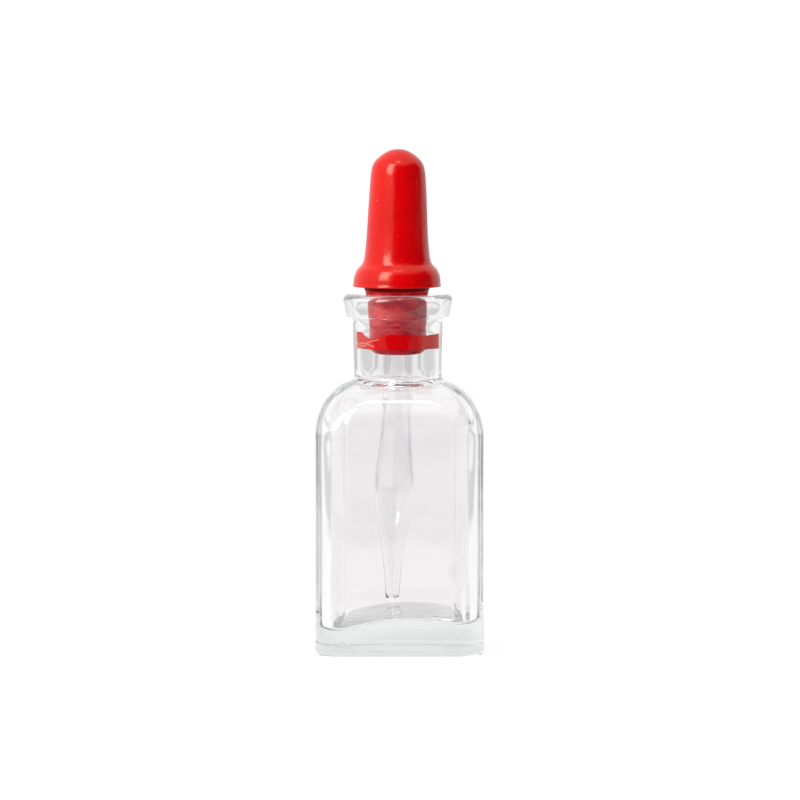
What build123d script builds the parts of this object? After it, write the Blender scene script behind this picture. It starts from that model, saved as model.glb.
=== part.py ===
from build123d import *
import math
import os

# Square dropping bottle of clear glass, closed by a rubber stopper that carries a glass dropper.
# +Z points up. The origin is at the centre of the base, on the plane that the bottle stands on.
# The bottle's flat faces look along X and Y. Every size is in millimetres.

# Bottle body
BODY_WIDTH = 35.5
CORNER_RADIUS = 5.75
BASE_EDGE_RADIUS = 1.8
SHOULDER_SPRING = 46.3
SHOULDER_RADIUS = 11.2
SHOULDER_STEPS = 5
NECK_ROUNDNESS = 0.97

# Push-up under the base, which leaves a narrow ring to stand on
PUSH_UP_WIDTH = 27.0
PUSH_UP_CORNER = 6.0
PUSH_UP_DEPTH = 1.0
PUSH_UP_SLOPE = 45

# Neck and lip
NECK_FOOT_RADIUS = 10.5
NECK_FOOT_HEIGHT = 56.2
NECK_ROOT_HEIGHT = 54.2
NECK_FILLET_TOP = 58.4
NECK_BOTTOM_RADIUS = 9.26
NECK_TOP_RADIUS = 9.56
LIP_BOTTOM = 70.4
LIP_BOTTOM_RADIUS = 11.0
LIP_TOP_RADIUS = 11.5
LIP_TOP = 75.2
LIP_EDGE_RADIUS = 0.7

# Inside of the bottle
WALL = 2.4
CAVITY_CORNER_RADIUS = 4.6
FLOOR_CORNER_HEIGHT = 5.0
FLOOR_CROWN_HEIGHT = 9.6
FLOOR_CROWN_RADIUS = 42.0
BORE_RADIUS = 6.1
BORE_TAPER_START = 67.0
MOUTH_RADIUS = 6.85
MOUTH_FLARE = 0.5
BORE_FOOT_FLARE = 0.8
CUT_MARGIN = 2.0

# Rubber stopper: tapered plug under a bell-shaped flange
PLUG_END = 62.6
PLUG_END_RADIUS = 4.2
PLUG_SEAT_START = 63.6
PLUG_SEAT_START_RADIUS = 5.7
PLUG_SEAT_TOP = 67.0
PLUG_SEAT_RADIUS = 6.02
PLUG_MOUTH_RADIUS = 6.72
FLANGE_UNDERSIDE = 77.6
PLUG_COLLAR_RADIUS = 7.15
FLANGE_EDGE = 76.8
FLANGE_EDGE_RADIUS = 9.35
FLANGE_EDGE_WIDTH = 0.45
FLANGE_RIM_HEIGHT = 77.6
FLANGE_RIM_RADIUS = 9.15
FLANGE_BULGE_HEIGHT = 79.3
FLANGE_BULGE_RADIUS = 9.0
FLANGE_SHOULDER_HEIGHT = 80.4
FLANGE_SHOULDER_RADIUS = 8.3
SPLIT_HEIGHT = 82.0
SPLIT_RADIUS = 7.1
HOLE_CLEARANCE = 0.05
LOWER_CHAMBER_FLOOR = 78.6
CHAMBER_RADIUS = 5.2

# Rubber bulb: hollow teat above the flange
BULB_WAIST_HEIGHT = 87.5
BULB_WAIST_RADIUS = 6.44
BULB_MIDDLE_HEIGHT = 94.3
BULB_MIDDLE_RADIUS = 6.14
BULB_KNEE_HEIGHT = 101.6
BULB_KNEE_RADIUS = 5.55
BULB_TOP = 105.8
BULB_WALL = 1.6
DOME_STEPS = 3

# Glass dropper pipe
PIPE_TOP = 80.0
PIPE_RADIUS = 3.1
PIPE_BORE = 1.95
SWELL_START = 43.5
SWELL_HEIGHT = 35.3
SWELL_RADIUS = 4.1
SWELL_BORE = 2.95
TAPER_MIDDLE_HEIGHT = 23.0
TAPER_MIDDLE_RADIUS = 2.45
TAPER_MIDDLE_BORE = 1.4
PIPE_TIP = 10.85
TIP_RADIUS = 1.5
TIP_BORE = 0.6


def rounded_square(half_width, roundness, height):
    """A square face at a height; a roundness of 1 would turn it into a circle."""
    side = 2 * half_width
    return Plane.XY.offset(height) * RectangleRounded(side, side, roundness * half_width)


def square_dome(half_width, corner_radius, bottom, arc_radius, top_half_width):
    """A square column whose shoulders curve in to a nearly round top."""
    corner_share = corner_radius / half_width
    column = extrude(rounded_square(half_width, corner_share, bottom), SHOULDER_SPRING - bottom)
    arc_end = math.acos(1 - (half_width - top_half_width) / arc_radius)
    sections = []
    for step in range(SHOULDER_STEPS + 1):
        angle = arc_end * step / SHOULDER_STEPS
        width = half_width - arc_radius * (1 - math.cos(angle))
        share = (half_width - width) / (half_width - top_half_width)
        roundness = corner_share + (NECK_ROUNDNESS - corner_share) * share
        sections.append(rounded_square(width, roundness, SHOULDER_SPRING + arc_radius * math.sin(angle)))
    return column + loft(sections)


def turned(outline):
    """A solid turned about Z from a closed outline in the XZ plane."""
    return revolve(make_face(outline), Axis.Z)


def point(radius, height):
    return (radius, 0, height)


def neck_blank():
    """The solid round neck with its flared foot and its beaded lip."""
    lip_side_start = point(LIP_BOTTOM_RADIUS, LIP_BOTTOM + LIP_EDGE_RADIUS)
    lip_side_end = point(LIP_TOP_RADIUS, LIP_TOP - LIP_EDGE_RADIUS)
    outline = [
        Line(point(0, NECK_ROOT_HEIGHT), point(NECK_FOOT_RADIUS, NECK_ROOT_HEIGHT)),
        Line(point(NECK_FOOT_RADIUS, NECK_ROOT_HEIGHT), point(NECK_FOOT_RADIUS, NECK_FOOT_HEIGHT)),
        TangentArc(
            point(NECK_BOTTOM_RADIUS, NECK_FILLET_TOP),
            point(NECK_FOOT_RADIUS, NECK_FOOT_HEIGHT),
            tangent=(0, 0, -1),
        ),
        Line(point(NECK_BOTTOM_RADIUS, NECK_FILLET_TOP), point(NECK_TOP_RADIUS, LIP_BOTTOM)),
        Line(point(NECK_TOP_RADIUS, LIP_BOTTOM), point(LIP_BOTTOM_RADIUS - LIP_EDGE_RADIUS, LIP_BOTTOM)),
        TangentArc(
            point(LIP_BOTTOM_RADIUS - LIP_EDGE_RADIUS, LIP_BOTTOM), lip_side_start, tangent=(1, 0, 0)
        ),
        Line(lip_side_start, lip_side_end),
        TangentArc(lip_side_end, point(LIP_TOP_RADIUS - LIP_EDGE_RADIUS, LIP_TOP), tangent=(0, 0, 1)),
        Line(point(LIP_TOP_RADIUS - LIP_EDGE_RADIUS, LIP_TOP), point(0, LIP_TOP)),
        Line(point(0, LIP_TOP), point(0, NECK_ROOT_HEIGHT)),
    ]
    return turned(outline)


def bore_cutter():
    """What the neck is opened with: a straight bore that widens to the mouth."""
    above = LIP_TOP + CUT_MARGIN
    return turned(
        Polyline(
            point(0, SHOULDER_SPRING),
            point(BORE_RADIUS, SHOULDER_SPRING),
            point(BORE_RADIUS, BORE_TAPER_START),
            point(MOUTH_RADIUS, LIP_TOP - MOUTH_FLARE),
            point(MOUTH_RADIUS + MOUTH_FLARE, LIP_TOP),
            point(MOUTH_RADIUS + MOUTH_FLARE, above),
            point(0, above),
            close=True,
        )
    )


def cavity():
    """The space for the ink, over a floor that is crowned in the middle."""
    space = square_dome(
        BODY_WIDTH / 2 - WALL,
        CAVITY_CORNER_RADIUS,
        FLOOR_CORNER_HEIGHT,
        SHOULDER_RADIUS - WALL,
        BORE_RADIUS + BORE_FOOT_FLARE,
    )
    crown = Pos(0, 0, FLOOR_CROWN_HEIGHT - FLOOR_CROWN_RADIUS) * Sphere(FLOOR_CROWN_RADIUS)
    return space - crown


def push_up():
    """The shallow hollow under the base."""
    outer = rounded_square(PUSH_UP_WIDTH / 2, 2 * PUSH_UP_CORNER / PUSH_UP_WIDTH, 0)
    return extrude(outer, PUSH_UP_DEPTH, taper=PUSH_UP_SLOPE)


def glass_bottle():
    blank = square_dome(BODY_WIDTH / 2, CORNER_RADIUS, 0, SHOULDER_RADIUS, NECK_BOTTOM_RADIUS)
    blank = fillet(blank.edges().group_by(Axis.Z)[0], BASE_EDGE_RADIUS)
    return blank + neck_blank() - cavity() - bore_cutter() - push_up()


def glass_pipette():
    outer = Spline(
        point(PIPE_RADIUS, SWELL_START),
        point(SWELL_RADIUS, SWELL_HEIGHT),
        point(TAPER_MIDDLE_RADIUS, TAPER_MIDDLE_HEIGHT),
        point(TIP_RADIUS, PIPE_TIP),
    )
    inner = Spline(
        point(PIPE_BORE, SWELL_START),
        point(SWELL_BORE, SWELL_HEIGHT),
        point(TAPER_MIDDLE_BORE, TAPER_MIDDLE_HEIGHT),
        point(TIP_BORE, PIPE_TIP),
    )
    outline = [
        Line(point(PIPE_BORE, SWELL_START), point(PIPE_BORE, PIPE_TOP)),
        Line(point(PIPE_BORE, PIPE_TOP), point(PIPE_RADIUS, PIPE_TOP)),
        Line(point(PIPE_RADIUS, PIPE_TOP), point(PIPE_RADIUS, SWELL_START)),
        outer,
        Line(point(TIP_RADIUS, PIPE_TIP), point(TIP_BORE, PIPE_TIP)),
        inner,
    ]
    return turned(outline)


def rubber_stopper():
    hole = PIPE_RADIUS + HOLE_CLEARANCE
    bell = Spline(
        point(FLANGE_RIM_RADIUS, FLANGE_RIM_HEIGHT),
        point(FLANGE_BULGE_RADIUS, FLANGE_BULGE_HEIGHT),
        point(FLANGE_SHOULDER_RADIUS, FLANGE_SHOULDER_HEIGHT),
        point(SPLIT_RADIUS, SPLIT_HEIGHT),
    )
    body = Polyline(
        point(SPLIT_RADIUS, SPLIT_HEIGHT),
        point(CHAMBER_RADIUS, SPLIT_HEIGHT),
        point(CHAMBER_RADIUS, LOWER_CHAMBER_FLOOR),
        point(hole, LOWER_CHAMBER_FLOOR),
        point(hole, PLUG_END),
        point(PLUG_END_RADIUS, PLUG_END),
        point(PLUG_SEAT_START_RADIUS, PLUG_SEAT_START),
        point(PLUG_SEAT_RADIUS, PLUG_SEAT_TOP),
        point(PLUG_MOUTH_RADIUS, LIP_TOP - MOUTH_FLARE),
        point(PLUG_COLLAR_RADIUS, FLANGE_UNDERSIDE),
        point(FLANGE_EDGE_RADIUS - FLANGE_EDGE_WIDTH, FLANGE_EDGE),
        point(FLANGE_EDGE_RADIUS, FLANGE_EDGE),
        point(FLANGE_RIM_RADIUS, FLANGE_RIM_HEIGHT),
    )
    return turned([bell, body])


def dome_points(radius, rise):
    """Points of a quarter ellipse, from the bulb's knee up to its top."""
    points = []
    for step in range(DOME_STEPS + 1):
        angle = math.pi / 2 * step / DOME_STEPS
        points.append(point(radius * math.cos(angle), BULB_KNEE_HEIGHT + rise * math.sin(angle)))
    return points


def bulb_form(foot_radius, offset, foot_height, top):
    """The solid form of the bulb, as far inside the outer surface as the offset says."""
    side = Spline(
        point(foot_radius, foot_height),
        point(BULB_WAIST_RADIUS - offset, BULB_WAIST_HEIGHT),
        point(BULB_MIDDLE_RADIUS - offset, BULB_MIDDLE_HEIGHT),
        point(BULB_KNEE_RADIUS - offset, BULB_KNEE_HEIGHT),
    )
    dome = Spline(dome_points(BULB_KNEE_RADIUS - offset, top - BULB_KNEE_HEIGHT))
    outline = [
        side,
        dome,
        Line(point(0, top), point(0, foot_height)),
        Line(point(0, foot_height), point(foot_radius, foot_height)),
    ]
    return turned(outline)


def rubber_bulb():
    outer = bulb_form(SPLIT_RADIUS, 0, SPLIT_HEIGHT, BULB_TOP)
    inner = bulb_form(CHAMBER_RADIUS, BULB_WALL, SPLIT_HEIGHT, BULB_TOP - BULB_WALL)
    return outer - inner


os.makedirs("parts", exist_ok=True)
PIECES = {
    "glass_bottle": glass_bottle,
    "glass_pipette": glass_pipette,
    "rubber_stopper": rubber_stopper,
    "rubber_bulb": rubber_bulb,
}
for name, make in PIECES.items():
    export_step(make(), f"parts/{name}.step")
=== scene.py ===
import math

import bpy
import numpy as np
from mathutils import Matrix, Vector


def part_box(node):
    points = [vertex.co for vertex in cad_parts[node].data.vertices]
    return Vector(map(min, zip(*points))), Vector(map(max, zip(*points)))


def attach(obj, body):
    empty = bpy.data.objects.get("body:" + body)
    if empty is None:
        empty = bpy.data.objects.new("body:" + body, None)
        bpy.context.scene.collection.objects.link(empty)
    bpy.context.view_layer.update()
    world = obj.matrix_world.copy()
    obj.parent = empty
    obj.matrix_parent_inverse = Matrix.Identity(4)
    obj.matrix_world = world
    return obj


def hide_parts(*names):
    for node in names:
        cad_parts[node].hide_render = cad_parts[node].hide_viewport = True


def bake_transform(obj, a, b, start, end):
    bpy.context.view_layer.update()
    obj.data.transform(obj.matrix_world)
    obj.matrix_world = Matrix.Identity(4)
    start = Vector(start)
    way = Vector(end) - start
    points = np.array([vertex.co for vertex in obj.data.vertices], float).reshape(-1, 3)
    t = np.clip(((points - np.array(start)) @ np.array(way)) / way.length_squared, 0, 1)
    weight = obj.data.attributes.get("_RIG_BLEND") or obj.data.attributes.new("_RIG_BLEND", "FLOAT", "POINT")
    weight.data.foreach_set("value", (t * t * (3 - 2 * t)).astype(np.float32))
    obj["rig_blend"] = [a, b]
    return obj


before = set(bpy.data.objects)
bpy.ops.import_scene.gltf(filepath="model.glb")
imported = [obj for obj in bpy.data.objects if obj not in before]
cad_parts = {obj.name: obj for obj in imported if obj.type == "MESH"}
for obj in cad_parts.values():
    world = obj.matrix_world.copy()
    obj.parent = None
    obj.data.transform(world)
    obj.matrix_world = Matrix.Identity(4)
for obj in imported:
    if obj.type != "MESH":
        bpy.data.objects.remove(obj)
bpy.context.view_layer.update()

# A square bottle of clear glass with a glass dropper and a red rubber stopper, in a white studio.
# Named lengths are in millimetres, and MM turns them into the frame's metres.
MM = 0.001


def node_box(node):
    """Lowest and highest corner of a CAD node, in millimetres."""
    low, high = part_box(node)
    return np.array(low) / MM, np.array(high) / MM


BOTTLE_LOW, BOTTLE_HIGH = node_box("glass_bottle")
PIPE_LOW, PIPE_HIGH = node_box("glass_pipette")
STOPPER_LOW, STOPPER_HIGH = node_box("rubber_stopper")
BULB_HIGH = node_box("rubber_bulb")[1]
BULB_TOP = BULB_HIGH[2]

# Bottle, outside
HALF_WIDTH = (BOTTLE_HIGH[0] - BOTTLE_LOW[0]) / 2
CORNER_RADIUS = 5.75
SHOULDER_SPRING = 46.3
SHOULDER_RADIUS = 11.2
NECK_BOTTOM_RADIUS = 9.26
NECK_TOP_RADIUS = 9.56
NECK_FILLET = 0.9
NECK_FILLET_STRETCH = 1.1
NECK_FILLET_START = 20
LIP_TOP = BOTTLE_HIGH[2]
LIP_BOTTOM = LIP_TOP - 4.8
LIP_BOTTOM_RADIUS = 11.05
LIP_TOP_RADIUS = 11.55
LIP_TOP_ROUND = 1.3
LIP_BOTTOM_ROUND = 0.45
LIP_FOOT_ROUND = 0.3

# Base: the push-up under it, and how fast its corners tighten where it is narrower than the walls
PUSH_UP_HALF_WIDTH = 13.4
PUSH_UP_CORNER = 6.0
PUSH_UP_DEPTH = 1.0
PUSH_UP_FIRST_SHARE = 0.08
BASE_CORNER_SHARE = 0.6

# Heel, from the standing face up: angles of its surface and radius of each arc between them
HEEL_ANGLES = (90, 36, 0)
HEEL_RADII = (0.03, 1.9)
HEEL_STEPS = 8

# Bottle, inside
WALL = 2.75
CAVITY_CORNER_RADIUS = 4.8
CAVITY_CORNER_SHARE = 0.5
FLOOR_CROWN = 9.6
FLOOR_CROWN_RADIUS = 42.0
FLOOR_TILT = 0.05
FLOOR_RIPPLE = 0.045
FLOOR_RIPPLE_LENGTH = 1.7
FLOOR_RIPPLE_START = (6, 12)
FLOOR_FILLET = 1.6
BORE_RADIUS = 6.1
BORE_FOOT = 57.3
BORE_FOOT_FILLET = 1.3
BORE_FOOT_END = 262
INNER_SHOULDER_LIFT = 0.9
BORE_TAPER_START = 67.0
MOUTH_RADIUS = 6.6
MOUTH_ROUND = 1.0
BODY_OFFSET = 0.38
BODY_OFFSET_FADE = (60, 45)

# Unevenness of the glass: depth inside and outside, wavelength, stretch along Z and seed
UNEVEN_INSIDE = 0.05
UNEVEN_OUTSIDE = 0.015
UNEVEN_LENGTH = 15
UNEVEN_STRETCH = 0.45
UNEVEN_SEED = 5
UNEVEN_START = (7, 15)
RUN_END = 3
RIPPLE_WAVES = 7

# Mesh lines round each quarter of the bottle, closer together at the rounded corners
FLAT_STEPS = 14
CORNER_STEPS = 26

# Rings of points along each stretch of the bottle
PUSH_UP_RINGS = 10
LAND_RINGS = 5
OUTER_WALL_RINGS = 34
OUTER_SHOULDER_STEPS = 22
FILLET_RINGS = 7
NECK_RINGS = 9
BORE_RINGS = 9
INNER_SHOULDER_STEPS = 20
INNER_WALL_RINGS = 30
FLOOR_FILLET_RINGS = 8
FLOOR_RINGS = 46

# Runs in the inner wall: x, y, lowest and highest z, width and depth
RUNS = [
    (-12.6, -14.6, 8, 33, 0.7, -0.22),
    (11.2, -14.6, 7, 19, 0.8, 0.16),
    (13.4, -13.6, 6, 16, 0.6, -0.18),
    (-13.6, 13.0, 20, 46, 0.9, 0.12),
    (14.8, 11.0, 12, 40, 0.9, -0.10),
    (9.0, 14.8, 10, 30, 1.1, 0.10),
]

# Air bubbles in the base: centre and half sizes
BUBBLES = [
    ((-11.4, -15.6, 2.6), (0.42, 0.16, 0.13)),
    ((-10.9, -15.2, 2.5), (0.20, 0.10, 0.08)),
    ((-0.6, -14.0, 2.2), (0.13, 0.10, 0.10)),
    ((12.7, -13.0, 3.4), (0.14, 0.10, 0.16)),
    ((6.5, 9.0, 5.0), (0.15, 0.15, 0.11)),
    ((-7.0, 12.5, 3.5), (0.22, 0.16, 0.12)),
]
BUBBLE_AROUND = 12
BUBBLE_LEVELS = 7

# Dropper pipe: straight part, then height, outer radius and bore radius down its swelling and taper
PIPE_RADIUS = 3.1
PIPE_BORE = 2.35
PIPE_STRAIGHT_START = 61.0
PIPE_TOP_ROUND = 0.5
PIPE_SHAPE = [
    (15.5, 1.78, 1.08),
    (20.5, 2.3, 1.6),
    (25.5, 3.15, 2.45),
    (29.8, 4.0, 3.3),
    (33.0, 4.33, 3.63),
    (36.0, 4.28, 3.58),
    (40.0, 3.9, 3.2),
    (44.5, 3.5, 2.8),
    (49.5, 3.28, 2.57),
    (55.0, 3.2, 2.48),
    (PIPE_STRAIGHT_START, PIPE_RADIUS, PIPE_BORE),
]

# Tip of the pipe: its radius outside and inside, its rounded rim, and how ragged that is
TIP_RADIUS = 1.5
TIP_BORE = 0.8
TIP_OUTER_RISE = 0.35
TIP_INNER_RISE = 0.3
TIP_RIM_MIDDLE = 1.1
TIP_RIM_RISE = 0.32
TIP_RIM_ROUND = 0.35
TIP_RAGGED_HEIGHT = 1.2
TIP_RAGGED_RISE = 0.1
TIP_WAVES = [(0.18, 3, 1), (0.12, 7, 0)]

# Lean of the pipe below the stopper, in mm per mm, which eases off further down
PIPE_LEAN = 0.050
PIPE_LEAN_CURVE = 0.011
PIPE_LEAN_START = 8
PIPE_AROUND = 96

# Rubber
RUBBER_AROUND = 288
HOLE_RADIUS = PIPE_RADIUS + 0.03
BAND_RADIUS = 5.98
BAND_TOP = 68.4
BAND_RINGS = 62
CONTACT_DEPTH = 0.02
CONTACT_BOTTOM = 63.55
BULB_LEAN = 0.010
BULB_LEAN_START = 77
BULB_SHIFT = -0.19
BULB_SHIFT_RISE = (69, 75)

# Unevenness of the rubber, as depth, wavelength and seed: the trimmed foot, the plug and the bulb
FOOT_SAG = (0.10, 7, 3)
FOOT_NICKS = (0.05, 2.4, 9)
FOOT_STRETCH = 0.2
FOOT_RISE = 0.08
FOOT_HEIGHT = 1.2
PLUG_HOLLOWS = (0.004, 5.5, 11)
PLUG_HOLLOWS_START = (67.2, 68.2)
BULB_SWELL = (0.0035, 14, 21)

# Painted shade in the recess between the flange and the neck
RECESS_RADIUS = 7.9
RECESS_BELOW_SPLIT = 4.9

# Squeeze: height of the waist, radius there, and the share of it that reaches the bulb's top
SQUEEZE_MIDDLE = 92.5
SQUEEZE_RADIUS = 6.3
SQUEEZE_TOP_SHARE = 0.25

# Height of the wetted band's upper edge, against degrees round the plug from the front (right positive)
BAND_EDGE = [
    (-180, 66.7), (-131, 66.6), (-94, 67.75), (-75, 67.3), (-57, 66.1), (-44, 66.05), (-25, 66.6),
    (-13, 67.0), (12, 67.0), (38, 66.7), (63, 66.8), (92, 66.9), (131, 66.6), (180, 66.7),
]

# Ragged edges of the band: height, waves in a turn and phase
BAND_TOP_WAVES = [(0.05, 23, 0), (0.04, 41, 1)]
BAND_FOOT_WAVES = [(0.05, 5, 2), (0.03, 31, 0)]
BAND_FOOT_RISE = 0.10
BAND_TOP_BLUR = 0.07
BAND_FOOT_BLUR = 0.05

# The band has drawn away from the glass about this many degrees to each side of the front
BAND_GAP_MIDDLE = 115
BAND_GAP_EDGE = (15.4, 16.6)

# Pale cracks in the band: degrees round the plug, height and width
CRACKS = [
    ([-97, -84, -63, -45, -31], [65.05, 64.92, 64.98, 65.66, 65.87], 0.05),
    ([-97, -81, -66, -60, -53, -41], [64.72, 64.34, 64.40, 64.92, 64.60, 64.28], 0.06),
    ([-97, -88, -72], [63.98, 63.86, 63.9], 0.05),
]
CRACK_WAVE = 0.03
CRACK_FADE = 8

# Glass: refraction, tints at three heights of the bottle, of which the low and middle ones are painted
# shade, and what its depth absorbs
GLASS_IOR = 1.52
BOTTLE_TINT = (0.948, 0.938, 0.942)
BOTTLE_MIDDLE_PAINTED_SHADE = (0.895, 0.886, 0.889)
BOTTLE_LOW_PAINTED_SHADE = (0.925, 0.918, 0.920)
PIPE_TINT = (0.99, 0.985, 0.987)
LOW_SHADE_FADE = (10, 40)
MIDDLE_SHADE_RISE = (8, 12)
MIDDLE_SHADE_FALL = (36, 20)
DEPTH_COLOUR = (0.47, 0.52, 0.50)
HEEL_ROUGHNESS = 0.18
HEEL_ROUGHNESS_FALL = (0.8, 0.4)

# Rubber's colours: clean, rubbed by the glass, chalky, dusty, wetted to the glass, cracked, and painted
# shade for the recess under the flange
CLEAN_REDS = ((0.53, 0.0002, 0.0009), (0.59, 0.0003, 0.0006))
RUBBED_REDS = ((0.60, 0.002, 0.014), (0.90, 0.010, 0.024))
CHALK = (0.92, 0.24, 0.23)
DUST = (0.80, 0.45, 0.42)
WETTED = (0.97, 0.0012, 0.0004)
WETTED_RIGHT = (1.0, 0.030, 0.020)
WETTED_LEFT = (1.0, 0.080, 0.045)
CRACK = (1.0, 0.78, 0.66)
RECESS_PAINTED_SHADE = (0.25, 0.0001, 0.0016)
RUBBER_IOR = 1.41
RUBBER_SHEEN = (1.0, 0.97, 0.76)

# Floor: its reach, the gap that keeps it off the standing face, and its own light
FLOOR_SIDE = 6000
FLOOR_FRONT = 500
FLOOR_BACK = 9000
FLOOR_GAP = 0.05
FLOOR_GLOW = 0.87
FLOOR_GLOW_COLOUR = (1.0, 0.995, 0.998)
FLOOR_GREYS = ((0.02, 0.02, 0.02), (0.20, 0.20, 0.20))

# Greyer parts of the floor: a strip on both sides, all beyond it, and the near edge
STRIP_NARROWING = 0.06
STRIP_RISE = (240, 320)
STRIP_FALL = (480, 400)
STRIP_GREY = 0.32
BEYOND_RISE = (350, 850)
BEYOND_GREY = 0.34
NEAR_RISE = (-240, -280)
NEAR_GREY = 0.75

# Surroundings: brightness, and the dark part's colour, middle, spread (cosines) and top (sines); it is
# dark too below the horizon, ahead of the floor's front edge
WORLD_LIGHT = 1.05
DARK_COLOUR = (0.05, 0.025, 0.08)
DARK_AZIMUTH = 46
DARK_SPREAD = (0.39, 0.515)
DARK_TOP = (0.78, 0.66)
UNDER_FLOOR = (-0.005, -0.03)
AHEAD = (0.1, -0.1)

# Softboxes: azimuth and elevation in degrees, distance and size in metres, power in watts
SOFTBOXES = {
    "key_softbox": (-37, 36, 0.75, (0.30, 0.58), 5.2),
    "overhead_softbox": (-2, 73, 0.70, (0.20, 0.07), 0.32),
}
SOFTBOX_AIM_HEIGHT = 55

# Camera
CAMERA_DISTANCE = 1425.0
CAMERA_HEIGHT = 161.4
CAMERA_PITCH = 4.364
CAMERA_SIDE = 0.46
OBJECT_MIDDLE = 52.0
PIXELS_ACROSS = 800
MM_PER_PIXEL = 0.2116
SENSOR = 36.0


# ---------------------------------------------------------------- shapes

def ramp(value, start, end):
    """Rises smoothly from 0 at the start to 1 at the end, which may be the lower of the two."""
    share = np.clip((value - start) / (end - start), 0.0, 1.0)
    return share * share * (3 - 2 * share)


def ripple(points, wavelength, seed):
    """Slow unevenness between about -1 and 1, made of a few crossed waves."""
    rng = np.random.default_rng(seed)
    total = np.zeros(len(points))
    for _ in range(RIPPLE_WAVES):
        direction = rng.normal(size=3)
        direction /= np.linalg.norm(direction)
        rate = rng.uniform(0.6, 1.5) * 2 * math.pi / wavelength
        total += np.sin(points @ direction * rate + rng.uniform(0, 2 * math.pi))
    return total / (RIPPLE_WAVES / 2)


def ragged(radians, waves):
    """A ragged line round the axis, from waves given as height, number in a turn and phase."""
    return sum(height * np.sin(radians * number + phase) for height, number, phase in waves)


def smooth_curve(points, steps):
    """A smooth line through a few (radius, height) points, as a centripetal Catmull-Rom spline."""
    p = np.array(points, float)
    p = np.vstack([2 * p[0] - p[1], p, 2 * p[-1] - p[-2]])
    line = []
    for i in range(1, len(p) - 2):
        p0, p1, p2, p3 = p[i - 1:i + 3]
        t0 = 0.0
        t1 = t0 + np.linalg.norm(p1 - p0) ** 0.5
        t2 = t1 + np.linalg.norm(p2 - p1) ** 0.5
        t3 = t2 + np.linalg.norm(p3 - p2) ** 0.5
        for t in np.linspace(t1, t2, steps, endpoint=False):
            a1 = (t1 - t) / (t1 - t0) * p0 + (t - t0) / (t1 - t0) * p1
            a2 = (t2 - t) / (t2 - t1) * p1 + (t - t1) / (t2 - t1) * p2
            a3 = (t3 - t) / (t3 - t2) * p2 + (t - t2) / (t3 - t2) * p3
            b1 = (t2 - t) / (t2 - t0) * a1 + (t - t0) / (t2 - t0) * a2
            b2 = (t3 - t) / (t3 - t1) * a2 + (t - t1) / (t3 - t1) * a3
            line.append((t2 - t) / (t2 - t1) * b1 + (t - t1) / (t2 - t1) * b2)
    line.append(p[-2])
    return np.array(line)


def arc(centre, radius, start, end, steps):
    """Points of a circular arc in the (radius, height) plane, angles in degrees."""
    angles = np.radians(np.linspace(start, end, steps + 1))
    return np.column_stack([centre[0] + radius * np.cos(angles), centre[1] + radius * np.sin(angles)])


def column(radius, heights):
    """(radius, height) points of a straight upright stretch."""
    return np.column_stack([np.full(len(heights), radius), heights])


def make_piece(name, points, faces):
    """A smoothly shaded mesh object from points in millimetres."""
    mesh = bpy.data.meshes.new(name)
    mesh.from_pydata((points * MM).tolist(), [], faces)
    mesh.validate()
    mesh.polygons.foreach_set("use_smooth", [True] * len(mesh.polygons))
    piece = bpy.data.objects.new(name, mesh)
    bpy.context.scene.collection.objects.link(piece)
    return piece


def skin(name, rings, first_pole, last_pole, hollows):
    """A closed mesh from rings of points, with a point closing each end, and hollows inside it."""
    count, around = rings.shape[:2]
    points = np.vstack([first_pole, rings.reshape(-1, 3), last_pole])
    last = len(points) - 1
    top = last - around
    faces = []
    for k in range(around):
        after = (k + 1) % around
        faces.append((0, 1 + after, 1 + k))
        for low in range(1, top, around):
            high = low + around
            faces.append((low + k, low + after, high + after, high + k))
        faces.append((top + k, top + after, last))
    for hollow_points, sides in hollows:
        faces += [tuple(len(points) + corner for corner in side) for side in sides]
        points = np.vstack([points, hollow_points])
    return make_piece(name, points, faces)


def tube(name, rings):
    """A closed mesh from rings of points that come back to the first ring."""
    count, around = rings.shape[:2]
    faces = []
    for ring_number in range(count):
        low = ring_number * around
        high = (ring_number + 1) % count * around
        for k in range(around):
            after = (k + 1) % around
            faces.append((low + k, low + after, high + after, high + k))
    return make_piece(name, rings.reshape(-1, 3), faces)


# ---------------------------------------------------------------- glass bottle

def quarter_angles():
    """Angles of the mesh lines of one quarter turn, from one flat's middle to the next."""
    edge = math.atan2(HALF_WIDTH - CORNER_RADIUS, HALF_WIDTH)
    first = np.linspace(0, edge, FLAT_STEPS, endpoint=False)
    corner = np.linspace(edge, math.pi / 2 - edge, CORNER_STEPS, endpoint=False)
    last = np.linspace(math.pi / 2 - edge, math.pi / 2, FLAT_STEPS, endpoint=False)
    return np.concatenate([first, corner, last])


ANGLES = np.concatenate([quarter_angles() + quarter * math.pi / 2 for quarter in range(4)])


def square_radius(half_width, corner_radius):
    """Distance from the axis to a rounded square, at each mesh angle."""
    folded = np.abs((ANGLES + math.pi / 4) % (math.pi / 2) - math.pi / 4)
    flat = half_width / np.cos(folded)
    centre = half_width - corner_radius
    across = np.maximum(corner_radius ** 2 - centre ** 2 * (1 - np.sin(2 * folded)), 0)
    corner = centre * (np.cos(folded) + np.sin(folded)) + np.sqrt(across)
    return np.where(np.tan(folded) * half_width <= centre, flat, corner)


def ring(radius, height):
    """Points at a radius and a height that may differ round the ring."""
    radius = np.broadcast_to(radius, ANGLES.shape)
    height = np.broadcast_to(height, ANGLES.shape)
    return np.column_stack([radius * np.cos(ANGLES), radius * np.sin(ANGLES), height])


def square_ring(half_width, corner_radius, height):
    return ring(square_radius(half_width, corner_radius), height)


def base_ring(half_width, height):
    """A ring of the base, whose corners are tighter where it is narrower than the walls."""
    return square_ring(half_width, CORNER_RADIUS - (HALF_WIDTH - half_width) * BASE_CORNER_SHARE, height)


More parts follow.
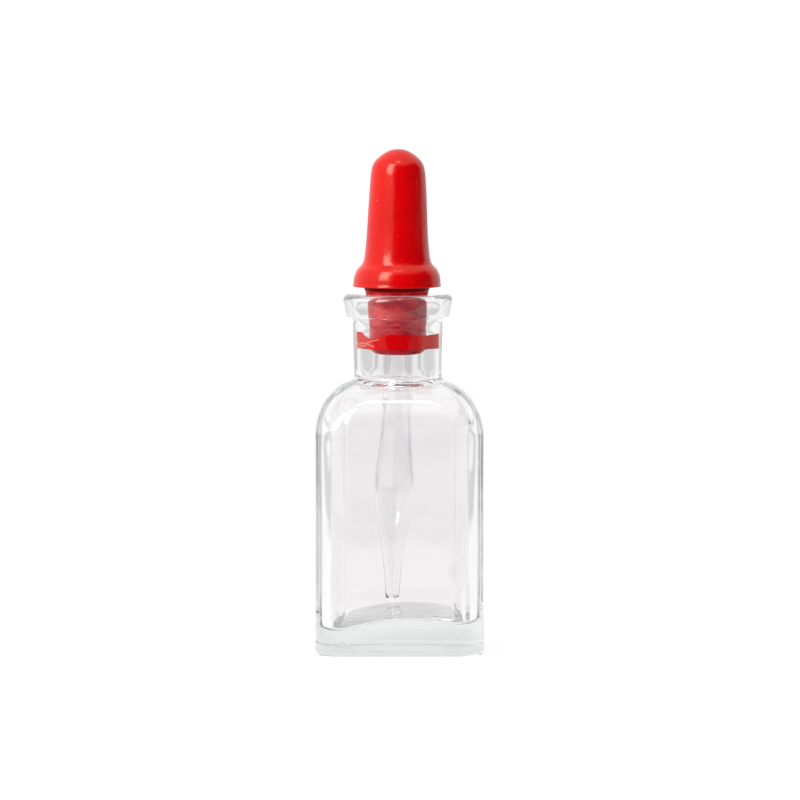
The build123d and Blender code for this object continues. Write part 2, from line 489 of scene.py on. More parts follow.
def shoulder_rings(half_width, corner_radius, arc_radius, top_half_width, steps):
    """Rings of a shoulder that curves in from a rounded square to a circle."""
    corner_share = corner_radius / half_width
    arc_end = math.acos(1 - (half_width - top_half_width) / arc_radius)
    rings = []
    for step in range(steps + 1):
        angle = arc_end * step / steps
        width = half_width - arc_radius * (1 - math.cos(angle))
        share = (half_width - width) / (half_width - top_half_width)
        roundness = corner_share + (1 - corner_share) * share
        height = SHOULDER_SPRING + arc_radius * math.sin(angle)
        rings.append(square_ring(width, roundness * width, height))
    return rings


def heel_outline():
    """Points (outward, up) of the heel, from the standing face up: a sharp turn, then a wide arc."""
    points = [np.zeros(2)]
    for start, end, radius in zip(HEEL_ANGLES, HEEL_ANGLES[1:], HEEL_RADII):
        first = points[-1]
        first_angle = math.radians(start)
        for angle in np.radians(np.linspace(start, end, HEEL_STEPS + 1)[1:]):
            outward = math.cos(angle) - math.cos(first_angle)
            up = math.sin(first_angle) - math.sin(angle)
            points.append(first + radius * np.array([outward, up]))
    return np.array(points)


def outside_rings():
    """From the push-up under the base, up the outside, to the mouth."""
    rings = []
    for share in np.linspace(PUSH_UP_FIRST_SHARE, 1, PUSH_UP_RINGS):
        height = PUSH_UP_DEPTH * (1 - share ** 2)
        rings.append(square_ring(PUSH_UP_HALF_WIDTH * share, PUSH_UP_CORNER * share, height))
    heel = heel_outline()
    land = HALF_WIDTH - heel[-1][0]
    for half_width in np.linspace(PUSH_UP_HALF_WIDTH, land, LAND_RINGS)[1:-1]:
        rings.append(base_ring(half_width, 0.0))
    for outward, up in heel:
        rings.append(base_ring(land + outward, up))
    for height in np.linspace(heel[-1][1], SHOULDER_SPRING, OUTER_WALL_RINGS)[1:-1]:
        rings.append(square_ring(HALF_WIDTH, CORNER_RADIUS, height))
    top_width = NECK_BOTTOM_RADIUS + NECK_FILLET
    rings += shoulder_rings(HALF_WIDTH, CORNER_RADIUS, SHOULDER_RADIUS, top_width, OUTER_SHOULDER_STEPS)
    rings += neck_rings(rings[-1][0, 2])
    return rings


def neck_rings(foot_height):
    """The fillet at the foot of the neck, the neck, and the beaded lip."""
    fillet_end = foot_height + NECK_FILLET * NECK_FILLET_STRETCH
    rings = []
    for angle in np.radians(np.linspace(NECK_FILLET_START, 90, FILLET_RINGS)):
        radius = NECK_BOTTOM_RADIUS + NECK_FILLET * (1 - math.sin(angle))
        height = fillet_end - (fillet_end - foot_height) * math.cos(angle)
        rings.append(ring(radius, height))
    for share in np.linspace(0, 1, NECK_RINGS)[1:]:
        radius = NECK_BOTTOM_RADIUS + (NECK_TOP_RADIUS - NECK_BOTTOM_RADIUS) * share
        rings.append(ring(radius, fillet_end + (LIP_BOTTOM - LIP_FOOT_ROUND - fillet_end) * share))
    foot = (NECK_TOP_RADIUS + LIP_FOOT_ROUND, LIP_BOTTOM - LIP_FOOT_ROUND)
    bottom = (LIP_BOTTOM_RADIUS - LIP_BOTTOM_ROUND, LIP_BOTTOM + LIP_BOTTOM_ROUND)
    top = (LIP_TOP_RADIUS - LIP_TOP_ROUND, LIP_TOP - LIP_TOP_ROUND)
    mouth = (MOUTH_RADIUS + MOUTH_ROUND, LIP_TOP - MOUTH_ROUND)
    outline = np.vstack([
        arc(foot, LIP_FOOT_ROUND, 180, 90, 4)[1:],
        arc(bottom, LIP_BOTTOM_ROUND, -90, 0, 6),
        arc(top, LIP_TOP_ROUND, 0, 90, 10),
        arc(mouth, MOUTH_ROUND, 90, 180, 8),
    ])
    return rings + [ring(radius, height) for radius, height in outline]


def bore_rings():
    """From the mouth down the bore, and out round its foot."""
    rings = []
    bore_top = LIP_TOP - MOUTH_ROUND
    for share in np.linspace(0, 1, BORE_RINGS)[1:]:
        height = bore_top + (BORE_TAPER_START - bore_top) * share
        rings.append(ring(MOUTH_RADIUS + (BORE_RADIUS - MOUTH_RADIUS) * share, height))
    for height in np.linspace(BORE_TAPER_START, BORE_FOOT, BORE_RINGS)[1:]:
        rings.append(ring(BORE_RADIUS, height))
    foot = arc((BORE_RADIUS + BORE_FOOT_FILLET, BORE_FOOT), BORE_FOOT_FILLET, 180, BORE_FOOT_END, 8)
    return rings + [ring(radius, height) for radius, height in foot[1:]]


def floor_height(points):
    """Height of the crowned, slightly tilted floor inside, at points' x and y."""
    away = np.hypot(points[:, 0], points[:, 1])
    waves = FLOOR_RIPPLE * np.sin(away * 2 * math.pi / FLOOR_RIPPLE_LENGTH) * ramp(away, *FLOOR_RIPPLE_START)
    return FLOOR_CROWN - away ** 2 / (2 * FLOOR_CROWN_RADIUS) + FLOOR_TILT * points[:, 0] + waves


def cavity_rings():
    """From the foot of the bore, over the inner shoulder and down the wall to the middle of the floor."""
    half_width = HALF_WIDTH - WALL
    top_width = BORE_RADIUS + BORE_FOOT_FILLET
    arc_radius = SHOULDER_RADIUS - WALL
    shoulder = shoulder_rings(half_width, CAVITY_CORNER_RADIUS, arc_radius, top_width, INNER_SHOULDER_STEPS)
    for edge in shoulder:
        edge[:, 2] += INNER_SHOULDER_LIFT
    rings = shoulder[::-1][1:]
    spring = SHOULDER_SPRING + INNER_SHOULDER_LIFT
    wall = square_ring(half_width, CAVITY_CORNER_RADIUS, 0)
    bottom = floor_height(wall) + FLOOR_FILLET
    for share in np.linspace(0, 1, INNER_WALL_RINGS)[1:]:
        wall[:, 2] = spring + (bottom - spring) * share
        rings.append(wall.copy())
    for angle in np.radians(np.linspace(0, 90, FLOOR_FILLET_RINGS)[1:]):
        inset = FLOOR_FILLET * (1 - math.cos(angle))
        edge = square_ring(half_width - inset, CAVITY_CORNER_RADIUS - CAVITY_CORNER_SHARE * inset, 0)
        edge[:, 2] = floor_height(edge) + FLOOR_FILLET * (1 - math.sin(angle))
        rings.append(edge)
    inner_corner = CAVITY_CORNER_RADIUS - CAVITY_CORNER_SHARE * FLOOR_FILLET
    for share in np.linspace(1, 0, FLOOR_RINGS)[1:-1]:
        edge = square_ring((half_width - FLOOR_FILLET) * share, inner_corner * share, 0)
        edge[:, 2] = floor_height(edge)
        rings.append(edge)
    return rings


def uneven_glass(points, inside):
    """Moulded glass is a little uneven: more so inside, where no mould touched it."""
    height = points[:, 2]
    depth = np.where(inside, UNEVEN_INSIDE, UNEVEN_OUTSIDE) * ramp(height, *UNEVEN_START)
    below_neck = ramp(height, SHOULDER_SPRING + 8, SHOULDER_SPRING - 2)
    outward = points[:, :2] / np.maximum(np.linalg.norm(points[:, :2], axis=1), 1e-6)[:, None]
    push = depth * below_neck * ripple(points * [1, 1, UNEVEN_STRETCH], UNEVEN_LENGTH, UNEVEN_SEED)
    for x, y, low, high, wide, deep in RUNS:
        away = np.hypot(points[:, 0] - x, points[:, 1] - y) / wide
        along = ramp(height, low, low + RUN_END) * ramp(height, high, high - RUN_END)
        push += inside * deep * along * np.exp(-away ** 2)
    points[:, :2] += outward * push[:, None]
    points[:, 0] += BODY_OFFSET * ramp(height, *BODY_OFFSET_FADE)
    return points


def bubble(centre, size):
    """Points and faces of a small air bubble; its faces look inwards, away from the glass."""
    angles = np.linspace(0, 2 * math.pi, BUBBLE_AROUND, endpoint=False)
    points = [(0, 0, -1)]
    for tilt in np.linspace(-math.pi / 2, math.pi / 2, BUBBLE_LEVELS + 2)[1:-1]:
        wide = math.cos(tilt)
        points += [(wide * math.cos(angle), wide * math.sin(angle), math.sin(tilt)) for angle in angles]
    points.append((0, 0, 1))
    last = len(points) - 1
    top = last - BUBBLE_AROUND
    faces = []
    for k in range(BUBBLE_AROUND):
        after = (k + 1) % BUBBLE_AROUND
        faces.append((0, 1 + k, 1 + after))
        for low in range(1, top, BUBBLE_AROUND):
            high = low + BUBBLE_AROUND
            faces.append((low + k, high + k, high + after, low + after))
        faces.append((top + k, last, top + after))
    return np.array(points) * size + centre, faces


def make_bottle():
    outer = outside_rings()
    inner = bore_rings() + cavity_rings()
    rings = np.array(outer + inner)
    inside = np.repeat([False] * len(outer) + [True] * len(inner), len(ANGLES))
    rings = uneven_glass(rings.reshape(-1, 3), inside).reshape(rings.shape)
    under = np.array([BODY_OFFSET, 0, PUSH_UP_DEPTH])
    crown = np.array([BODY_OFFSET, 0, FLOOR_CROWN])
    bubbles = [bubble(np.array(centre), np.array(size)) for centre, size in BUBBLES]
    return skin("bottle_glass_shell", rings, under, crown, bubbles)


# ---------------------------------------------------------------- glass dropper pipe

def circle_rings(outline, around):
    """Rings turned about the axis from (radius, height) points."""
    angles = np.linspace(0, 2 * math.pi, around, endpoint=False)
    radius = outline[:, 0][:, None]
    height = np.broadcast_to(outline[:, 1][:, None], (len(outline), around))
    return np.stack([radius * np.cos(angles), radius * np.sin(angles), height], axis=2)


def pipe_outline():
    """The wall of the pipe as a closed line: up the outside, over the top, down the bore, round the tip."""
    tip, top = PIPE_LOW[2], PIPE_HIGH[2] - PIPE_TOP_ROUND
    outside = [(TIP_RADIUS, tip + TIP_OUTER_RISE)] + [(outer, z) for z, outer, _ in PIPE_SHAPE]
    inside = [(TIP_BORE, tip + TIP_INNER_RISE)] + [(bore, z) for z, _, bore in PIPE_SHAPE]
    straight = np.linspace(PIPE_STRAIGHT_START, top, 10)[1:]
    rim = (PIPE_RADIUS + PIPE_BORE) / 2
    return np.vstack([
        smooth_curve(outside, 8),
        column(PIPE_RADIUS, straight),
        arc((rim, top), PIPE_RADIUS - rim, 0, 180, 8)[1:],
        column(PIPE_BORE, straight)[::-1][1:],
        smooth_curve(inside, 8)[::-1],
        arc((TIP_RIM_MIDDLE, tip + TIP_RIM_RISE), TIP_RIM_ROUND, 180, 360, 8)[1:-1],
    ])


def make_pipette():
    rings = circle_rings(pipe_outline(), PIPE_AROUND)
    angles = np.linspace(0, 2 * math.pi, PIPE_AROUND, endpoint=False)
    tip = PIPE_LOW[2]
    near_tip = ramp(rings[:, :, 2], tip + TIP_RAGGED_HEIGHT, tip)
    rings[:, :, 2] += near_tip * (ragged(angles, TIP_WAVES) + TIP_RAGGED_RISE)
    below = np.maximum(STOPPER_LOW[2] - PIPE_LEAN_START - rings[:, :, 2], 0)
    rings[:, :, 0] -= PIPE_LEAN * below * (1 - PIPE_LEAN_CURVE * below)
    return tube("dropper_pipe", rings)


# ---------------------------------------------------------------- rubber bulb and stopper

def rubber_plug():
    """Outside of the plug, from its end up to the neck under the flange."""
    end = STOPPER_LOW[2]
    foot = smooth_curve([(4.6, end), (5.2, end + 0.3), (5.55, end + 0.65), (5.72, end + 0.9)], 5)
    band = column(BAND_RADIUS, np.linspace(CONTACT_BOTTOM + 0.05, BAND_TOP, BAND_RINGS))
    top = smooth_curve([
        (6.03, 68.5), (6.14, 69.8), (6.24, 71.6), (6.38, 74.2), (6.62, 75.5), (6.95, 76.3), (7.15, 76.9),
    ], 7)
    return np.vstack([foot, band, top])


def rubber_outside():
    """Outside of the rubber, from the plug's end to the bulb's top, as (radius, height) points."""
    split = STOPPER_HIGH[2]
    flange = smooth_curve([
        (7.32, split - 4.95), (8.1, split - 5.0), (8.9, split - 5.12), (9.26, split - 5.24),
        (9.37, split - 5.12), (9.24, split - 4.6), (9.16, split - 3.6), (8.95, split - 2.6),
        (8.5, split - 1.7), (7.85, split - 0.95), (7.42, split - 0.5), (7.12, split + 0.15),
    ], 7)
    bulb = smooth_curve([
        (7.12, split + 0.15), (6.88, split + 1.5), (6.66, split + 3.5), (6.44, split + 6.5),
        (6.27, split + 10.0), (6.12, split + 13.0), (5.9, split + 17.0), (5.72, split + 19.1),
        (5.36, split + 20.5), (4.6, split + 21.6), (3.5, split + 22.55), (2.1, split + 23.38),
        (1.1, BULB_TOP - 0.1), (0.3, BULB_TOP - 0.02),
    ], 9)
    return np.vstack([rubber_plug(), flange, bulb[1:]])


def rubber_inside():
    """Inside of the rubber, from the bulb's top down the chamber and the pipe's hole."""
    end, split = STOPPER_LOW[2], STOPPER_HIGH[2]
    chamber = smooth_curve([
        (0.5, BULB_TOP - 1.6), (2.4, BULB_TOP - 2.1), (3.7, BULB_TOP - 3.6), (4.1, BULB_TOP - 5.5),
        (4.45, split + 12.0), (4.9, split + 5.0), (5.1, split), (5.0, split - 2.6), (4.2, split - 3.2),
        (HOLE_RADIUS + 0.1, split - 3.4),
    ], 7)
    bore = column(HOLE_RADIUS, np.linspace(split - 3.6, end + 0.1, 8))
    rim = np.array([(HOLE_RADIUS + 0.1, end), (3.9, end - 0.02)])
    return np.vstack([chamber, bore, rim])


def around_plug(points):
    """Degrees round the plug from the front, right positive."""
    return np.degrees(np.arctan2(points[:, 0], -points[:, 1]))


def contact_band(points):
    """1 where the plug's skin is wetted to the glass of the bore, 0 elsewhere."""
    degrees = around_plug(points)
    radians = np.radians(degrees)
    edge = np.interp(degrees, *zip(*BAND_EDGE)) + ragged(radians, BAND_TOP_WAVES)
    foot = CONTACT_BOTTOM + BAND_FOOT_RISE + ragged(radians, BAND_FOOT_WAVES)
    upper = ramp(points[:, 2], edge + BAND_TOP_BLUR, edge - BAND_TOP_BLUR)
    lower = ramp(points[:, 2], foot - BAND_FOOT_BLUR, foot + BAND_FOOT_BLUR)
    outside = np.hypot(points[:, 0], points[:, 1]) > PIPE_RADIUS + 1.5
    touching = ramp(np.abs(np.abs(degrees) - BAND_GAP_MIDDLE), *BAND_GAP_EDGE)
    return upper * lower * outside * touching


def crack_lines(points):
    """1 on a crack of the contact band, 0 elsewhere."""
    degrees = around_plug(points)
    total = np.zeros(len(points))
    for angles, heights, width in CRACKS:
        line = np.interp(degrees, angles, heights) + CRACK_WAVE * np.sin(degrees * 0.9)
        along = (degrees > angles[0]) * ramp(degrees, angles[-1], angles[-1] - CRACK_FADE)
        total = np.maximum(total, along * np.exp(-((points[:, 2] - line) / width) ** 2))
    return total


def uneven_rubber(points):
    """Moulded rubber is hand-trimmed at the foot and never quite round."""
    split = STOPPER_HIGH[2]
    radius = np.hypot(points[:, 0], points[:, 1])
    trimmed = (radius > PIPE_RADIUS + 0.8) & (points[:, 2] < STOPPER_LOW[2] + FOOT_HEIGHT)
    depth, length, seed = FOOT_SAG
    sag = depth * ripple(points * [1, 1, FOOT_STRETCH], length, seed)
    depth, length, seed = FOOT_NICKS
    sag += depth * ripple(points, length, seed)
    points[:, 2] += np.where(trimmed, sag + FOOT_RISE, 0.0)
    plug = ramp(points[:, 2], split - 6.0, split - 7.5) * (radius > 5.0)
    free = ramp(points[:, 2], *PLUG_HOLLOWS_START)
    depth, length, seed = PLUG_HOLLOWS
    points[:, :2] *= (1 - depth * plug * free * (1 + ripple(points, length, seed)))[:, None]
    bulb = ramp(points[:, 2], split - 6, split - 2)
    depth, length, seed = BULB_SWELL
    points[:, :2] *= (1 + depth * bulb * ripple(points, length, seed))[:, None]
    return points


def write_floats(mesh, name, values):
    data = mesh.attributes.new(name, "FLOAT", "POINT").data
    data.foreach_set("value", values.astype(np.float32))


def write_places(mesh, name, points):
    """Keeps each point's unsqueezed place, in millimetres, so that the texture bends with the rubber."""
    data = mesh.attributes.new(name, "FLOAT_VECTOR", "POINT").data
    data.foreach_set("vector", points.astype(np.float32).ravel())


def make_rubber():
    rings = circle_rings(np.vstack([rubber_outside(), rubber_inside()]), RUBBER_AROUND)
    points = uneven_rubber(rings.reshape(-1, 3))
    contact = contact_band(points)
    radius = np.maximum(np.hypot(points[:, 0], points[:, 1]), 1e-6)
    wetted = BORE_RADIUS + CONTACT_DEPTH
    points[:, :2] *= (1 + contact * (wetted / radius - 1))[:, None]
    places = points.copy()
    height = places[:, 2]
    points[:, 0] += BULB_SHIFT * ramp(height, *BULB_SHIFT_RISE)
    points[:, 0] += BULB_LEAN * np.maximum(height - BULB_LEAN_START, 0)
    piece = tube("rubber_bulb_stopper", points.reshape(rings.shape))
    in_neck = ramp(height, LIP_TOP + 0.9, LIP_TOP + 0.3)
    # Painted shade darkens the rubber under the flange, above the bottle's lip
    under_flange = (radius < RECESS_RADIUS) & (height < STOPPER_HIGH[2] - RECESS_BELOW_SPLIT)
    write_floats(piece.data, "recess_painted_shade", under_flange * (1 - in_neck))
    write_floats(piece.data, "contact", contact)
    write_floats(piece.data, "crack", contact * crack_lines(places))
    write_floats(piece.data, "bloom", in_neck * (1 - contact))
    write_floats(piece.data, "degrees", around_plug(places))
    write_places(piece.data, "place", places)
    return piece


def pinch(piece):
    """Squeezes the bulb from front and back alike, most at its middle and not at all at the flange."""
    mesh = piece.data
    points = np.empty(len(mesh.vertices) * 3, np.float32)
    mesh.vertices.foreach_get("co", points)
    points = points.reshape(-1, 3) / MM
    height = points[:, 2]
    below = ramp(height, STOPPER_HIGH[2], SQUEEZE_MIDDLE)
    above = SQUEEZE_TOP_SHARE + (1 - SQUEEZE_TOP_SHARE) * ramp(height, BULB_TOP + 1, SQUEEZE_MIDDLE)
    weight = -points[:, 1] / SQUEEZE_RADIUS * np.where(height < SQUEEZE_MIDDLE, below, above)
    mesh.attributes["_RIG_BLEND"].data.foreach_set("value", weight.astype(np.float32))


# ---------------------------------------------------------------- shading

class Shading:
    """The node tree of a material or of the world, and short ways to add to it."""

    def __init__(self, tree):
        self.nodes = tree.nodes
        self.links = tree.links

    def feed(self, socket, value):
        """Links another node's output to a socket, or sets the socket to a number, a vector or a colour."""
        if isinstance(value, bpy.types.NodeSocket):
            self.links.new(value, socket)
        elif socket.type == "RGBA":
            socket.default_value = (*value, 1)
        else:
            socket.default_value = value

    def add(self, kind, **inputs):
        """A new node; an underscore in an input's name stands for a space."""
        node = self.nodes.new("ShaderNode" + kind)
        for name, value in inputs.items():
            self.feed(node.inputs[name.replace("_", " ")], value)
        return node

    def object_place(self):
        return self.add("TexCoord").outputs["Object"]

    def attribute(self, name, output="Fac"):
        node = self.add("Attribute")
        node.attribute_name = name
        return node.outputs[output]

    def maths(self, operation, first, second=0.0):
        node = self.add("Math")
        node.operation = operation
        self.feed(node.inputs[0], first)
        self.feed(node.inputs[1], second)
        return node.outputs["Value"]

    def product(self, first, second):
        return self.maths("MULTIPLY", first, second)

    def total(self, first, second):
        return self.maths("ADD", first, second)

    def greater(self, first, second):
        return self.maths("MAXIMUM", first, second)

    def inverse(self, value):
        return self.maths("SUBTRACT", 1.0, value)

    def noise(self, place, scale, detail, roughness=0.5):
        node = self.add("TexNoise", Vector=place, Scale=scale, Detail=detail, Roughness=roughness)
        return node.outputs["Fac"]

    def remap(self, value, low, high, out_low=0.0, out_high=1.0):
        node = self.add("MapRange", Value=value, From_Min=low, From_Max=high)
        self.feed(node.inputs["To Min"], out_low)
        self.feed(node.inputs["To Max"], out_high)
        return node.outputs["Result"]

    def ramp(self, value, low, high):
        """Rises smoothly from 0 at low to 1 at high."""
        node = self.add("MapRange", Value=value, From_Min=low, From_Max=high)
        node.interpolation_type = "SMOOTHSTEP"
        return node.outputs["Result"]

    def ramp_between(self, value, places):
        """The same between two places in millimetres."""
        return self.ramp(value, places[0] * MM, places[1] * MM)

    def mix(self, factor, first, second):
        """From the first colour, where the factor is 0, to the second."""
        node = self.add("Mix", Factor=factor)
        node.data_type = "RGBA"
        self.feed(node.inputs[6], first)
        self.feed(node.inputs[7], second)
        return node.outputs[2]

    def specks(self, place, scale, size, share):
        """Sparse tiny grains: 1 on a grain, 0 between."""
        cells = self.add("TexVoronoi", Vector=place, Scale=scale)
        grain = self.remap(cells.outputs["Distance"], size, size * 0.45)
        split = self.add("SeparateColor", Color=cells.outputs["Color"])
        return self.product(grain, self.maths("LESS_THAN", split.outputs["Red"], share))

    def bump(self, height, distance):
        return self.add("Bump", Strength=1.0, Distance=distance, Height=height).outputs["Normal"]


def new_material(name):
    """A material, its node tree and its main shader's sockets."""
    material = bpy.data.materials.new(name)
    material.use_nodes = True
    return material, Shading(material.node_tree), material.node_tree.nodes["Principled BSDF"].inputs


def glass_material(name, wave_scale, wave_depth, absorption):
    """Clear glass with slow waviness and tiny pits; absorption is what its depth takes from the light."""
    material, tree, shader = new_material(name)
    shader["IOR"].default_value = GLASS_IOR
    shader["Transmission Weight"].default_value = 1.0
    shader["Roughness"].default_value = 0.0
    place = tree.object_place()
    pits = tree.product(tree.specks(place, wave_scale * 5, 0.12, 0.12), 0.25)
    surface = tree.maths("SUBTRACT", tree.noise(place, wave_scale, 2.0), pits)
    tree.feed(shader["Normal"], tree.bump(surface, wave_depth))
    volume = tree.add("VolumeAbsorption", Color=DEPTH_COLOUR, Density=absorption)
    tree.feed(tree.nodes["Material Output"].inputs["Volume"], volume.outputs["Volume"])
    return material, tree, shader


def bottle_material():
    """The bottle's glass, made a little darker in its lower half by painted shade, on a faintly rough heel.
    """
    material, tree, shader = glass_material("bottle_glass", 120, 0.02 * MM, 12)
    height = tree.add("SeparateXYZ", Vector=tree.object_place()).outputs["Z"]
    # Painted shade: the glass is darker below 40 mm, and darkest from about 12 to 20 mm
    above_base = tree.ramp_between(height, MIDDLE_SHADE_RISE)
    middle = tree.product(above_base, tree.ramp_between(height, MIDDLE_SHADE_FALL))
    tint_and_low_shade = tree.mix(tree.ramp_between(height, LOW_SHADE_FADE), BOTTLE_LOW_PAINTED_SHADE, BOTTLE_TINT)
    tree.feed(shader["Base Color"], tree.mix(middle, tint_and_low_shade, BOTTLE_MIDDLE_PAINTED_SHADE))
    heel = tree.ramp_between(height, HEEL_ROUGHNESS_FALL)
    tree.feed(shader["Roughness"], tree.product(heel, HEEL_ROUGHNESS))
    return material


def pipe_material():
    material, tree, shader = glass_material("pipette_glass", 200, 0.01 * MM, 10)
    tree.feed(shader["Base Color"], PIPE_TINT)
    return material


def bloomed_red(tree, place, bloom, degrees):
    """Red rubber, with a chalky bloom where the plug has rubbed against the glass."""
    red = tree.mix(tree.remap(tree.noise(place, 0.16, 3.0), 0.35, 0.65), *CLEAN_REDS)
    stretched = tree.nodes.new("ShaderNodeVectorMath")
    stretched.operation = "MULTIPLY"
    tree.feed(stretched.inputs[0], place)
    tree.feed(stretched.inputs[1], (1.0, 1.0, 2.6))
    streaks = tree.noise(stretched.outputs["Vector"], 0.42, 5.0, 0.6)
    grit = tree.noise(place, 3.2, 3.0, 0.7)
    chalk = tree.total(tree.remap(streaks, 0.42, 0.60, 0.0, 0.16), tree.remap(grit, 0.50, 0.75, 0.0, 0.20))
    aside = tree.remap(degrees, 25, -45, 0.2, 1.4)
    rubbed = tree.mix(tree.remap(streaks, 0.40, 0.62), *RUBBED_REDS)
    worn = tree.mix(bloom, red, rubbed)
    return tree.mix(tree.product(tree.product(chalk, bloom), aside), worn, CHALK)


def wetted_red(tree, place, degrees):
    """The band where the rubber is pressed against the glass, paler towards both ends."""
    left = tree.remap(degrees, -50, -62)
    right = tree.remap(degrees, 37, 39)
    film = tree.remap(tree.noise(place, 2.2, 5.0, 0.7), 0.35, 0.65, 0.5, 1.3)
    thin = tree.mix(tree.product(right, film), WETTED, WETTED_RIGHT)
    return tree.mix(left, thin, WETTED_LEFT)


def rubber_material():
    material, tree, shader = new_material("red_rubber")
    place = tree.attribute("place", "Vector")
    contact = tree.attribute("contact")
    bloom = tree.attribute("bloom")
    degrees = tree.attribute("degrees")
    recess_painted_shade = tree.attribute("recess_painted_shade")

    grains = tree.product(tree.specks(place, 0.62, 0.07, 0.45), 0.55)
    fine = tree.product(tree.specks(place, 1.3, 0.10, 0.22), 0.40)
    dust = tree.product(tree.greater(grains, fine), tree.inverse(contact))
    dusted = tree.mix(dust, bloomed_red(tree, place, bloom, degrees), DUST)
    wet = tree.mix(contact, dusted, wetted_red(tree, place, degrees))
    cracked = tree.mix(tree.attribute("crack"), wet, CRACK)
    # Painted shade: the recess under the flange is darkened to a deep red
    tree.feed(shader["Base Color"], tree.mix(recess_painted_shade, cracked, RECESS_PAINTED_SHADE))

    rough = tree.remap(tree.noise(place, 0.9, 4.0), 0.3, 0.7, 0.16, 0.23)
    rough = tree.total(rough, tree.product(bloom, 0.35))
    tree.feed(shader["Roughness"], tree.total(rough, tree.product(dust, 0.3)))
    shader["IOR"].default_value = RUBBER_IOR
    tree.feed(shader["Specular Tint"], RUBBER_SHEEN)
    # The wetted band, the bloom and the recess with its painted shade are matt
    matt = tree.greater(contact, tree.product(bloom, 0.88))
    matt = tree.greater(matt, tree.product(recess_painted_shade, 0.9))
    tree.feed(shader["Specular IOR Level"], tree.remap(matt, 0.0, 1.0, 0.5, 0.0))

    swell = tree.product(tree.noise(place, 0.7, 2.0), 2.0)
    grain = tree.product(tree.noise(place, 5.0, 3.0), 0.12)
    surface = tree.total(tree.total(swell, grain), tree.product(dust, 0.5))
    tree.feed(shader["Normal"], tree.bump(surface, 0.02 * MM))
    return material


# ---------------------------------------------------------------- studio

def look_direction(azimuth, elevation):
    """Unit vector from the object; azimuth 0 is towards the camera, positive to its right."""
    a, e = math.radians(azimuth), math.radians(elevation)
    return Vector((math.sin(a) * math.cos(e), -math.cos(a) * math.cos(e), math.sin(e)))


def make_softbox(name, azimuth, elevation, distance, size, power):
    light = bpy.data.lights.new(name, "AREA")
    light.shape = "RECTANGLE"
    light.size, light.size_y = size
    light.energy = power
    holder = bpy.data.objects.new(name, light)
    aim = Vector((0, 0, SOFTBOX_AIM_HEIGHT * MM))
    holder.location = aim + look_direction(azimuth, elevation) * distance
    holder.rotation_euler = (aim - holder.location).to_track_quat("-Z", "Y").to_euler()
    bpy.context.scene.collection.objects.link(holder)


def seen_masks(tree):
    """Two masks: 1 where the backdrop is seen directly, and 1 there and straight through clear glass."""
    path = tree.add("LightPath").outputs
    bounces = tree.total(path["Glossy Depth"], path["Diffuse Depth"])
    unbroken = tree.maths("LESS_THAN", bounces, 0.5)
    through = tree.product(path["Is Transmission Ray"], unbroken)
    return path["Is Camera Ray"], tree.greater(path["Is Camera Ray"], through)


def floor_material():
    """White paper, greyer towards both sides and dark near its front edge, for what reflects it."""
    material, tree, shader = new_material("floor_paper")
    split = tree.add("SeparateXYZ", Vector=tree.object_place()).outputs
    narrowing = tree.product(split["Y"], STRIP_NARROWING)
    sideways = tree.maths("SUBTRACT", tree.maths("ABSOLUTE", split["X"]), narrowing)
    strip = tree.product(tree.ramp_between(sideways, STRIP_RISE), tree.ramp_between(sideways, STRIP_FALL))
    beyond = tree.ramp_between(sideways, BEYOND_RISE)
    direct, plain = seen_masks(tree)
    grey = tree.total(tree.product(strip, STRIP_GREY), tree.product(beyond, BEYOND_GREY))
    grey = tree.product(grey, tree.inverse(direct))
    near = tree.product(tree.ramp_between(split["Y"], NEAR_RISE), NEAR_GREY)
    near = tree.product(near, tree.inverse(plain))
    light = tree.inverse(tree.greater(grey, near))
    tree.feed(shader["Base Color"], tree.mix(light, *FLOOR_GREYS))
    shader["Roughness"].default_value = 0.9
    shader["Specular IOR Level"].default_value = 0.0
    tree.feed(shader["Emission Color"], FLOOR_GLOW_COLOUR)
    tree.feed(shader["Emission Strength"], tree.product(light, FLOOR_GLOW))
    return material


def make_floor():
    """A wide flat sheet that the bottle stands on."""
    corners = [(1, -FLOOR_FRONT), (1, FLOOR_BACK), (-1, FLOOR_BACK), (-1, -FLOOR_FRONT)]
    points = [(side * FLOOR_SIDE * MM, y * MM, -FLOOR_GAP * MM) for side, y in corners]
    mesh = bpy.data.meshes.new("floor")
    mesh.from_pydata(points, [], [(0, 1, 2, 3)])
    mesh.materials.append(floor_material())
    floor = bpy.data.objects.new("floor", mesh)
    bpy.context.scene.collection.objects.link(floor)


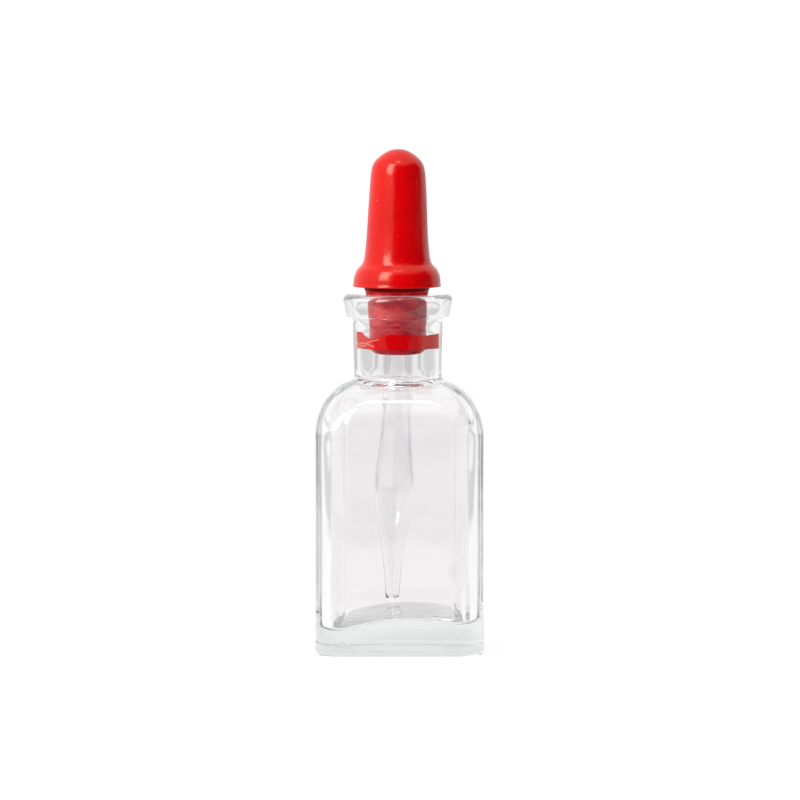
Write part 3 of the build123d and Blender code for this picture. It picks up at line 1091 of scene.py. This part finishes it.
def make_world():
    """White surroundings, with a dark part of the room low in front and to the right."""
    world = bpy.data.worlds.new("studio")
    bpy.context.scene.world = world
    world.use_nodes = True
    tree = Shading(world.node_tree)
    place = tree.add("TexCoord").outputs["Generated"]
    split = tree.add("SeparateXYZ", Vector=place).outputs
    dot = tree.nodes.new("ShaderNodeVectorMath")
    dot.operation = "DOT_PRODUCT"
    tree.feed(dot.inputs[0], place)
    tree.feed(dot.inputs[1], look_direction(DARK_AZIMUTH, 0))
    level = tree.maths("SQRT", tree.inverse(tree.product(split["Z"], split["Z"])))
    sideways = tree.maths("DIVIDE", dot.outputs["Value"], tree.greater(level, 0.01))
    room = tree.product(tree.ramp(sideways, *DARK_SPREAD), tree.ramp(split["Z"], *DARK_TOP))
    under_floor = tree.product(tree.ramp(split["Z"], *UNDER_FLOOR), tree.ramp(split["Y"], *AHEAD))
    plain = seen_masks(tree)[1]
    dark = tree.product(tree.greater(room, under_floor), tree.inverse(plain))
    white = (WORLD_LIGHT, WORLD_LIGHT, WORLD_LIGHT)
    tree.feed(tree.nodes["Background"].inputs["Color"], tree.mix(dark, white, DARK_COLOUR))


def make_camera():
    camera = bpy.data.cameras.new("camera")
    camera.sensor_width = SENSOR
    reach = math.hypot(CAMERA_DISTANCE, CAMERA_HEIGHT - OBJECT_MIDDLE)
    camera.lens = reach / MM_PER_PIXEL * SENSOR / PIXELS_ACROSS
    camera.clip_start = 0.01
    camera.clip_end = 100
    holder = bpy.data.objects.new("camera", camera)
    holder.location = (CAMERA_SIDE * MM, -CAMERA_DISTANCE * MM, CAMERA_HEIGHT * MM)
    holder.rotation_euler = (math.radians(90 - CAMERA_PITCH), 0, 0)
    bpy.context.scene.collection.objects.link(holder)
    bpy.context.scene.camera = holder


def set_colour_and_light_paths():
    scene = bpy.context.scene
    scene.view_settings.view_transform = "Standard"
    scene.cycles.max_bounces = 64
    scene.cycles.transmission_bounces = 64
    scene.cycles.glossy_bounces = 64
    scene.cycles.sample_clamp_indirect = 10.0


# ---------------------------------------------------------------- assembly

make_camera()
set_colour_and_light_paths()
make_world()
make_floor()
for softbox, settings in SOFTBOXES.items():
    make_softbox(softbox, *settings)

bottle = make_bottle()
bottle.data.materials.append(bottle_material())
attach(bottle, "bottle")
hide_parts("glass_bottle")

pipe = make_pipette()
pipe.data.materials.append(pipe_material())
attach(pipe, "pipette")
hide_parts("glass_pipette")

rubber = make_rubber()
rubber.data.materials.append(rubber_material())
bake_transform(rubber, "stopper", "bulb", start=(0, 0, STOPPER_HIGH[2] * MM), end=(0, 0, BULB_HIGH[2] * MM))
pinch(rubber)
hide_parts("rubber_stopper", "rubber_bulb")
